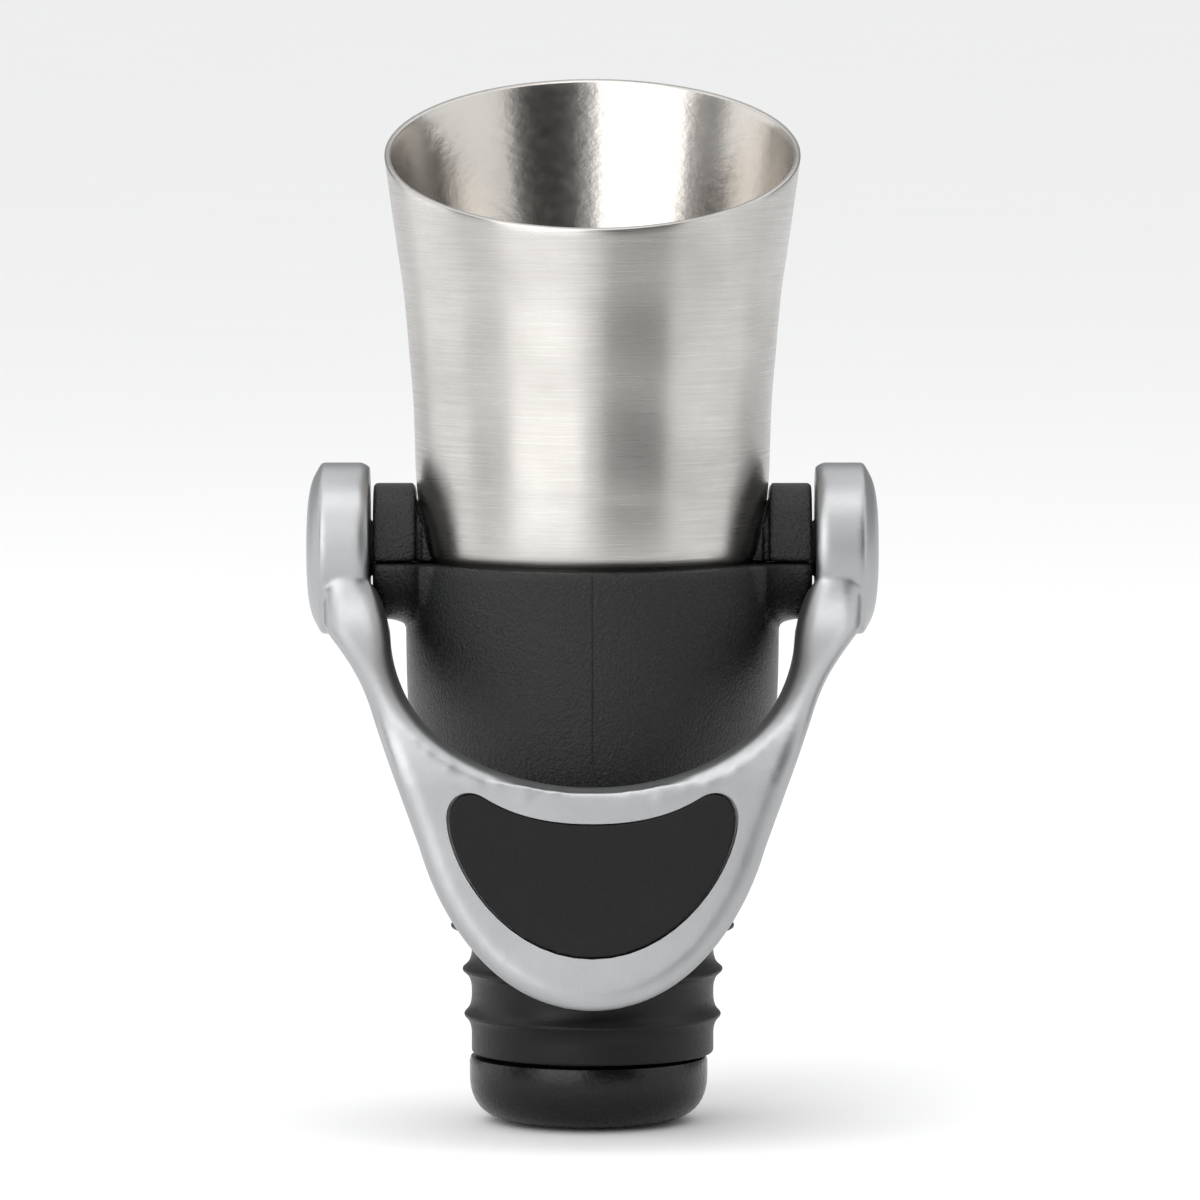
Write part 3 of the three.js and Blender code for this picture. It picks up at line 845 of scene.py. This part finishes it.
@dataclass
class Collar:
    """The ring inside the cup, with the black blocks that cap the pivot bearings.

    Attributes:
        ring: Inner and outer radius of the ring.
        ring_z: Its lowest and highest points.
        lug: Where a block starts and ends on X.
        lug_radius: Half a block's depth.
        split: Height of the blocks' underside.
        neck: Radius, start and end of the step between block and cup.
        cheek: The same for the part that lies against the sheet.
        web: The same for the bridge through the cup's opening.
        cup_gap: Clearance round the sheet.
        bore: Where a bearing's bore starts and ends on X.
        crank_room: Half width and half depth of the space left for the cranks.
        voxel: Mesh size of the moulded skin.
    """

    ring: Point = (9.7, 11.1)
    ring_z: Point = (39.55, 47.2)
    lug: Point = (13.2, 16.4)
    lug_radius: float = 4.9
    split: float = 42.32
    neck: Span = (4.1, 12.6, 13.3)
    cheek: Span = (4.4, 11.0, 12.7)
    web: Span = (3.6, 10.2, 13.4)
    cup_gap: float = 0.2
    bore: Point = (8.0, 17.0)
    crank_room: Point = (9.75, 4.6)
    voxel: float = 0.14

    def side_block(self) -> Object:
        """Makes one block with its neck and cheek, fitted round the cup.

        Returns:
            The block on the side where x is positive.
        """
        lug = round_topped("lug", self.lug_radius, self.lug[0], self.lug[1], self.split, 0.3)
        work(lug, round_topped("neck", *self.neck, self.split), Cut.ADD)
        work(lug, round_topped("cheek", *self.cheek, self.split), Cut.ADD)
        cup = Cup()
        around = [(11.9, UNDER_Z), *flowing(cup.side, 3)]
        hollow = [(0.0, UNDER_Z), *[(r + self.cup_gap, z) for r, z in around], (0.0, around[-1][1])]
        work(lug, turned("cup_room", hollow, steps=120), Cut.TAKE)
        work(lug, round_topped("web", *self.web, self.split), Cut.ADD)
        return lug

    def build(self) -> Object:
        """Joins the ring and blocks and bores them for the bearings.

        Returns:
            The collar with both blocks.
        """
        low, high = self.ring_z
        section = [(self.ring[0], low), (self.ring[1], low), (self.ring[1], high, 0.3),
                   (self.ring[0], high, 0.3)]
        piece = turned("collar_block", closed(eased(section)), steps=120)
        on_both_sides(piece, self.side_block, Cut.ADD)
        half, deep = self.crank_room
        work(piece, block("crank_room", (-half, -deep, UNDER_Z), (half, deep, 49.0)), Cut.TAKE)
        on_both_sides(piece, self.make_bore, Cut.TAKE)
        melt(piece, self.voxel, 3)
        return piece

    def make_bore(self) -> Object:
        """Makes the tool for one bearing's bore, with straight sides below it."""
        return round_topped("bore", BEARING_R, self.bore[0], self.bore[1], UNDER_Z)


@dataclass
class Housing:
    """The black moulded bowl with an ear on each side for the pivot.

    Attributes:
        outside: Outside (radius, height) points, in millimetres.
        inside: Inside points, from the top down.
        ear: (radius, x) points of an ear about the pivot.
        floor: Height of the bowl's underside.
        top: Height of the flat top, where the collar's blocks meet the ears.
        voxel: Mesh size of the moulded skin.
    """

    outside: list[Point] = field(default_factory=lambda: [
        (12.0, 20.9), (12.6, 22.2), (13.15, 24.6), (13.62, 28.2), (13.88, 32.0), (13.98, 36.0),
        (14.0, 41.7)])
    inside: list[Point] = field(default_factory=lambda: [
        (12.3, 44.0), (12.3, 38.4), (10.2, 38.4), (10.0, 28.0), (9.4, 24.0), (7.1, 24.0),
        (7.1, 19.0)])
    ear: list[Point] = field(default_factory=lambda: [
        (7.3, 12.9), (6.4, 13.2), (5.85, 13.7), (5.5, 14.4), (5.32, 15.2), (5.3, 15.9)])
    floor: float = 20.6
    top: float = SPLIT_Z
    voxel: float = 0.24

    def build(self) -> Object:
        """Turns the bowl, adds the ears, hollows it and cuts the bearing saddles.

        Returns:
            The bowl with both ears.
        """
        wall = [(11.2, self.floor), *flowing(self.outside, 5), (13.85, 42.1), (13.7, self.top)]
        piece = turned("housing_bowl", [(0.0, self.floor), *wall, (0.0, self.top)], steps=180)
        on_both_sides(piece, self.make_ear, Cut.ADD)
        hollow = [(0.0, 44.0), *self.inside, (0.0, 19.0)]
        work(piece, turned("hollow", hollow, steps=180), Cut.TAKE)
        on_both_sides(piece, self.make_saddle, Cut.TAKE)
        melt(piece, self.voxel, 2)
        return piece

    def make_ear(self) -> Object:
        """Turns one ear about the pivot and trims it at the housing's top.

        Returns:
            The ear on the side where x is positive.
        """
        ear = [(0.0, 11.5), (7.3, 11.5), *flowing(self.ear, 4), (5.2, 16.25), (4.95, 16.4), (0.0, 16.4)]
        piece = turned("ear", ear, Axis.X, steps=72, centre=(0.0, PIVOT_Z))
        work(piece, block("trim", (5.0, -12.0, self.top), (20.0, 12.0, 55.0)), Cut.TAKE)
        return piece

    @staticmethod
    def make_saddle() -> Object:
        """Makes the half-round seat of a bearing, open upwards.

        Returns:
            The tool that cuts one seat.
        """
        outline = [(-BEARING_R, 45.0), *arc((0, PIVOT_Z), (BEARING_R, BEARING_R), 180, 360, 24),
                   (BEARING_R, 45.0)]
        return drawn_out("saddle", outline, Axis.X, 10.0, 17.0)


# ---------------------------------------------------------------- lever


@dataclass
class Yoke:
    """The cast lever: two bosses, sweeping arms and a dished thumb tab.

    Attributes:
        outside: Curves of the front outline from the tip to the arm's top.
        tip: Height of the tab's tip.
        arch: Height, half width and drop of the arch between the arms.
        draft: How much wider the arch is at its back.
        boss_radius: Radius of a boss.
        boss_cover: How far a boss stands out past the arm's round end.
        boss: (radius, x) section of a boss about the pivot.
        bevel: Width of the bevel along every long edge.
        ear_room: Radius and half length of the round space that is kept for the ears.
        arm_front: Curve of the arm's front in side view.
        tab_front: Curve of the tab's front.
        tab_back: Curve of the tab's back.
        plain_tip: Height of the tip's stretch that is left straight in side view.
        arm_back: Curve of the arm's back.
        tip_back: Depth of the tip's back edge.
        pad_middle: Height that the pad's outline is scaled about.
        pad_depth: Depths of the pad's face and of its pocket behind the tab's face.
        voxel: Mesh size of the cast skin.
        pad: Curves of the pad's half outline from its bottom to the middle of its top.
    """

    outside: list[tuple[float, ...]] = field(default_factory=lambda: [
        (6.4, 10.42, 10.9, 16.0, 12.7, 22.2), (13.9, 25.5, 15.2, 29.0, 16.4, 32.3),
        (17.3, 34.6, 18.6, 35.9, 20.0, 37.6)])
    tip: float = 10.42
    arch: tuple[float, float, float] = (36.6, 14.6, 9.8)
    draft: float = 1.05
    boss_radius: float = 6.43
    boss_cover: float = 0.35
    boss: list[tuple[float, ...]] = field(default_factory=lambda: [
        (0.0, 16.7), (6.1, 16.7), (6.43, 17.2, 0.25), (6.43, 20.3, 0.2), (5.2, 20.98, 0.5),
        (4.0, 21.28, 0.8), (2.2, 21.42, 0.8), (0.0, 21.42)])
    bevel: float = 1.15
    ear_room: Point = (5.9, 16.8)
    arm_front: tuple[float, ...] = (-7.2, 35.0, -17.2, 35.5, -18.3, 27.0)
    tab_front: tuple[float, ...] = (-18.7, 22.0, -19.2, 16.0, -20.6, 10.2)
    tab_back: tuple[float, ...] = (-15.9, 16.0, -15.6, 21.0, -15.3, 26.5)
    plain_tip: float = 4.6
    arm_back: tuple[float, ...] = (-13.6, 32.5, -5.0, 31.0, 1.2, 36.7)
    tip_back: float = -17.6
    pad_middle: float = 20.3
    pad_depth: Point = (-0.02, 1.35)
    voxel: float = 0.19
    pad: list[tuple[float, ...]] = field(default_factory=lambda: [
        (6.4, 14.4, 10.4, 21.0, 10.5, 24.4), (10.5, 26.3, 8.9, 26.7, 7.7, 25.9),
        (5.9, 24.8, 3.6, 24.05, 0.0, 24.05)])

    def front_outline(self) -> list[Point]:
        """Returns the outer outline of tab and arms seen from the front."""
        rim = bezier((0.0, self.tip), self.outside, 24)
        return mirrored([*rim, (20.2, PIVOT_Z), (0.0, PIVOT_Z)])

    def side_outline(self) -> list[Point]:
        """Returns the outline of boss, arm and tab seen from the side.

        Returns:
            (y, z) points, front first.
        """
        inside_boss = (self.boss_radius - self.boss_cover,) * 2
        round_front = arc((0, PIVOT_Z), inside_boss, 90, 189, 18)
        front = [*bezier(round_front[-1], [self.arm_front], 22)[1:],
                 *bezier(self.arm_front[4:], [self.tab_front], 7)[1:]]
        back = [*bezier((self.tip_back, self.tab_front[5]), [self.tab_back], 5),
                *bezier(self.tab_back[4:], [self.arm_back], 22)[1:]]
        round_back = arc((0, PIVOT_Z), inside_boss, -79, 89, 24)
        return [*round_front, *self.thinned(front), *self.thinned(back), *round_back]

    def thinned(self, curve: Sequence[Point]) -> list[Point]:
        """Drops the points of a side curve beside the tip of the tab.

        A crease there would run almost along the edge that is bevelled.

        Args:
            curve: (y, z) points of the lever's front or back.

        Returns:
            The points that are kept.
        """
        tip = self.tab_front[5]
        return [at for at in curve if abs(at[1] - tip) < 0.01 or at[1] > tip + self.plain_tip]

    def face_layer(self, name: str, front: float, back: float) -> Object:
        """Makes a slab that follows the tab's face between two depths behind it.

        Args:
            name: The slab's name.
            front: Depth of its near side behind the face.
            back: Depth of its far side.

        Returns:
            The slab, wider than the tab.
        """
        start = (self.arm_front[4], self.arm_front[5])
        face = [(start[0] + 0.7, 33.0), *bezier(start, [self.tab_front], 16)]
        near = [(y + front, z) for y, z in face]
        far = [(y + back, z) for y, z in reversed(face)]
        return drawn_out(name, [*near, *far], Axis.X, -22.0, 22.0)

    def pad_outline(self, grow: float) -> list[Point]:
        """Returns the pad's outline, scaled about its middle.

        Args:
            grow: The scale, 1 for the pad itself.

        Returns:
            (x, z) points.
        """
        half = bezier((0.0, self.pad[0][1]), self.pad, 14)
        middle = self.pad_middle
        return mirrored([(x * grow, middle + (z - middle) * grow) for x, z in half])

    def build(self) -> Object:
        """Cuts the casting from its two outlines, adds the bosses and rounds it.

        Returns:
            The casting with its pocket for the pad.
        """
        piece = drawn_out("yoke_casting", self.front_outline(), Axis.Y, -30.0, 30.0)
        side = drawn_out("side", self.side_outline(), Axis.X, -25.0, 25.0)
        work(piece, side, Cut.KEEP)
        work(piece, self.make_arch(), Cut.TAKE)
        ease_edges(piece, self.bevel, 2, 50)
        melt(piece, self.voxel, 10)
        radius, reach = self.ear_room
        room = [(0.0, -reach), (radius, -reach), (radius, reach), (0.0, reach)]
        work(piece, turned("ear_room", room, Axis.X, 72, (0.0, PIVOT_Z)), Cut.TAKE)
        on_both_sides(piece, self.make_boss, Cut.ADD)
        melt(piece, self.voxel, 4)
        pocket = drawn_out("pocket", self.pad_outline(1.02), Axis.Y, -30.0, -10.0)
        work(pocket, self.face_layer("pocket_floor", -1.5, self.pad_depth[1]), Cut.KEEP)
        work(piece, pocket, Cut.TAKE)
        shade(piece, 50)
        return piece

    def make_arch(self) -> Object:
        """Makes the tool that clears the room between the arms, a little wider at its back.

        Returns:
            The tool, which reaches past the bosses at the back.
        """
        height, half_width, drop = self.arch
        shoulder = bezier((16.9, 44.0), [(16.2, 41.2, half_width + 0.3, 39.5, half_width, height)], 6)
        inner = arc((0, height), (half_width, drop), 0, -90, 36)
        piece = drawn_out("arch", mirrored([(0.0, 44.0), *shoulder, *inner[1:]]), Axis.Y, -30.0, 10.0)
        pick(piece)
        bpy.ops.object.mode_set(mode="EDIT")
        choose_edges(piece, lambda e: min(v.co.y for v in e.verts) > 0)
        bpy.ops.transform.resize(value=(self.draft, 1, self.draft), center_override=(0, 0, height * MM))
        bpy.ops.object.mode_set(mode="OBJECT")
        return piece

    def make_boss(self) -> Object:
        """Turns one boss with its trunnion about the pivot."""
        section = [(0.0, 9.5), (2.0, 9.5), (2.0, 16.7), *eased(self.boss)[1:]]
        return turned("boss", section, Axis.X, 96, (0.0, PIVOT_Z))

    def build_pad(self) -> Object:
        """Cuts the pad to fill its pocket, a hair proud of the face.

        Returns:
            The pad.
        """
        piece = drawn_out("pad_face", self.pad_outline(1.0), Axis.Y, -30.0, -10.0)
        work(piece, self.face_layer("pad_layer", self.pad_depth[0], 1.2), Cut.KEEP)
        melt(piece, 0.12, 3)
        return piece


# ---------------------------------------------------------------- stopper


@dataclass
class Stopper:
    """The ribbed rubber sleeve and the plug below it.

    Attributes:
        radius: The sleeve's radius between its fins.
        bore: Its inner radius.
        span: Its lowest and highest points.
        fins: (height, radius) of each fin's tip.
        seat: Radius and underside height of the collar that rests on the bottle.
        plug_shift: How far the plug sits to one side.
    """

    radius: float = 9.1
    bore: float = 7.08
    span: Point = (5.0, 20.5)
    fins: list[Point] = field(default_factory=lambda: [(7.9, 9.65), (11.3, 9.78), (14.6, 10.65)])
    seat: Point = (12.1, 18.8)
    plug_shift: float = -0.3

    def build_sleeve(self) -> Object:
        """Turns the sleeve with its fins and seat.

        Returns:
            The sleeve.
        """
        low, high = self.span
        section: list[tuple[float, ...]] = [(7.75, low), (self.radius, low, 0.3)]
        for z, r in self.fins:
            waist = self.radius + 0.3 * (r - self.radius)
            section += [(self.radius, z - 1.15, 0.3), (waist, z - 0.5, 0.3), (r, z - 0.09, 0.06),
                        (r, z + 0.09, 0.06), (waist, z + 0.5, 0.3), (self.radius, z + 1.15, 0.3)]
        section += [(self.radius, self.seat[1], 0.4), (self.seat[0], self.seat[1], 0.3),
                    (self.seat[0], high, 0.3), (self.bore, high), (self.bore, 5.5), (7.75, 5.5)]
        piece = turned("stopper_rubber", closed(eased(section)), steps=180)
        shade(piece, 50)
        return piece

    def build_plug(self) -> Object:
        """Turns the plug with its round lower edge and the groove of its seal.

        Returns:
            The plug.
        """
        section = [(0.0, 0.0), (5.4, 0.0), *corner((5.4, 0.0), (8.95, 0.0), (8.95, 3.4), 3.4, 12),
                   (8.95, 4.4), (8.85, 4.7), (8.6, 4.8), (7.5, 4.8), (7.5, 3.9), (5.1, 3.9),
                   (5.1, 4.8), (1.65, 4.8), (1.65, 4.55), (1.15, 4.1), (1.15, 2.2), (0.0, 2.2)]
        piece = turned("plug_body", section, steps=180, centre=(self.plug_shift, 0.0))
        shade(piece, 40)
        return piece


# ---------------------------------------------------------------- studio


@dataclass
class Studio:
    """Pale floor, soft lights and the camera.

    Attributes:
        target: Where the camera looks, in millimetres.
        distance: From the target, in millimetres.
        pitch: How far the camera looks down, in degrees.
        lens: Focal length on a 36 mm sensor.
    """

    target: tuple[float, float, float] = (0.56, 0.0, 39.1)
    distance: float = 726.0
    pitch: float = 4.62
    lens: float = 290.3

    def build(self) -> None:
        """Sets up floor, world, lights and camera."""
        bpy.context.scene.view_settings.view_transform = "Standard"
        self.lay_floor()
        self.light_world()
        self.hang_sun()
        self.hang_softbox("key_front_left", (-0.26, -0.46, 0.24), 0.52, 0.48, 2.7)
        self.hang_softbox("fill_right", (0.55, -0.10, 0.24), 0.66, 0.48, 0.9)
        self.hang_softbox("fill_left", (-0.56, 0.16, 0.22), 0.50, 0.48, 1.1)
        self.hang_softbox("top", (-0.05, -0.25, 0.80), 0.50, 0.40, 1.6)
        self.place_card("card_upright", (0.10, -0.20, 0.14), (math.pi / 2, 0, 0.42), 0.165, 0.26)
        self.set_camera()

    def lay_floor(self) -> None:
        """Lays the pale floor under the plug."""
        select_none()
        bpy.ops.mesh.primitive_plane_add(size=16.0, location=(0, 0, -0.0002))
        floor = bpy.context.active_object
        floor.name = "studio_floor"
        paint = Finish("matt_white_paint", "#F3F3F3", "#F1F1F1", roughness=0.9,
                       grain_height_mm=0.01, mottle_mm=60.0)
        floor.data.materials.append(paint.build())

    def place_card(self, name: str, place: tuple[float, float, float],
                   turn: tuple[float, float, float], width: float, height: float) -> None:
        """Places a dark card out of shot, which draws dark bands in the gloss.

        Args:
            name: The card's name.
            place: Where its middle is, in metres.
            turn: Its rotation.
            width: Its width in metres.
            height: Its height in metres.
        """
        select_none()
        bpy.ops.mesh.primitive_plane_add(size=1.0, location=place, rotation=turn)
        card = bpy.context.active_object
        card.name = name
        card.scale = (width, height, 1.0)
        felt = Finish("black_felt", "#101010", "#141414", roughness=0.9, grain_height_mm=0.2)
        card.data.materials.append(felt.build())
        card.visible_camera = False
        card.visible_shadow = False

    def light_world(self) -> None:
        """Sets an even pale surround."""
        world = bpy.data.worlds.new("studio")
        bpy.context.scene.world = world
        world.use_nodes = True
        back = world.node_tree.nodes["Background"]
        back.inputs["Color"].default_value = linear("#F6F7F8")
        back.inputs["Strength"].default_value = 0.38

    def hang_sun(self) -> None:
        """Lights the floor evenly from above with a very wide, soft source."""
        lamp = bpy.data.lights.new("ceiling", "SUN")
        lamp.angle = math.radians(100)
        lamp.energy = 2.0
        holder = bpy.data.objects.new("ceiling", lamp)
        bpy.context.scene.collection.objects.link(holder)

    def hang_softbox(self, name: str, place: tuple[float, float, float], width: float,
                     height: float, glow: float) -> None:
        """Hangs a soft rectangular light that faces the part.

        Args:
            name: The light's name.
            place: Where its middle is, in metres.
            width: Its width in metres.
            height: Its height in metres.
            glow: Brightness of its face, where 1 is as bright as the floor.
        """
        lamp = bpy.data.lights.new(name, "AREA")
        lamp.shape = "RECTANGLE"
        lamp.size = width
        lamp.size_y = height
        lamp.energy = glow * math.pi * width * height
        holder = bpy.data.objects.new(name, lamp)
        bpy.context.scene.collection.objects.link(holder)
        holder.location = place
        aim = Vector((0, 0, 0.045)) - Vector(place)
        holder.rotation_euler = aim.to_track_quat("-Z", "Y").to_euler()
        holder.visible_camera = False

    def set_camera(self) -> None:
        """Places the camera in front, a little above."""
        view = bpy.data.cameras.new("camera")
        view.lens = self.lens
        view.sensor_width = 36.0
        view.clip_start = 0.01
        view.clip_end = 50.0
        holder = bpy.data.objects.new("camera", view)
        bpy.context.scene.collection.objects.link(holder)
        pitch = math.radians(self.pitch)
        offset = Vector((0, -math.cos(pitch), math.sin(pitch))) * self.distance
        holder.location = (Vector(self.target) + offset) * MM
        holder.rotation_euler = (math.pi / 2 - pitch, 0, 0)
        bpy.context.scene.camera = holder


INNER_FINISHES = {
    "cup_gasket": MATT_RUBBER,
    "pivot_bush_left": ACETAL,
    "pivot_bush_right": ACETAL,
    "pivot_oring_left": MATT_RUBBER,
    "pivot_oring_right": MATT_RUBBER,
    "crank_left": TURNED_BAR,
    "crank_right": TURNED_BAR,
    "crosshead": ACETAL,
    "crosshead_screw": TURNED_BAR,
    "valve_stem": TURNED_BAR,
    "plug_seal": MATT_RUBBER,
    "stopper_core": MOULDED_NYLON,
    "core_oring": MATT_RUBBER,
    "stem_guide": ACETAL,
    "vent_tube": TURNED_BAR,
    "ear_screw_left": BRASS,
    "ear_screw_right": BRASS,
}


def dress_inner_parts(made: dict[str, Material]) -> None:
    """Gives the CAD nodes that stay in view their materials.

    Args:
        made: The built materials by name.
    """
    for node, finish in INNER_FINISHES.items():
        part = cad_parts[node]
        part.data.materials.clear()
        part.data.materials.append(made[finish.name])
        LOG.info("%s: dressed as %s", node, finish.name)


def main() -> None:
    """Builds each sub-assembly, dresses it and sets up the studio."""
    finishes = [BRUSHED_SHEET, POLISHED_SHEET, BLASTED_ZINC, MOULDED_NYLON, SOFT_PAD, MATT_RUBBER, PLUG_SKIN,
                TURNED_BAR, ACETAL, BRASS]
    made = {finish.name: finish.build() for finish in finishes}
    yoke, stopper = Yoke(), Stopper()
    cup = Cup()
    shell = cup.build()
    hand_over(shell, made[BRUSHED_SHEET.name], "housing", "pour_cup")
    cup.line_inside(shell, made[POLISHED_SHEET.name])
    hand_over(Collar().build(), made[MOULDED_NYLON.name], "housing", "cup_collar")
    hand_over(Housing().build(), made[MOULDED_NYLON.name], "housing", "housing")
    hand_over(yoke.build(), made[BLASTED_ZINC.name], "lever", "lever_yoke")
    hand_over(yoke.build_pad(), made[SOFT_PAD.name], "lever", "thumb_pad")
    hand_over(stopper.build_sleeve(), made[MATT_RUBBER.name], "housing", "stopper_sleeve")
    hand_over(stopper.build_plug(), made[PLUG_SKIN.name], "plunger", "valve_plug")
    dress_inner_parts(made)
    Studio().build()
    select_none()


if __name__ == "__main__":
    logging.basicConfig(level=logging.INFO, format="%(message)s")
    main()
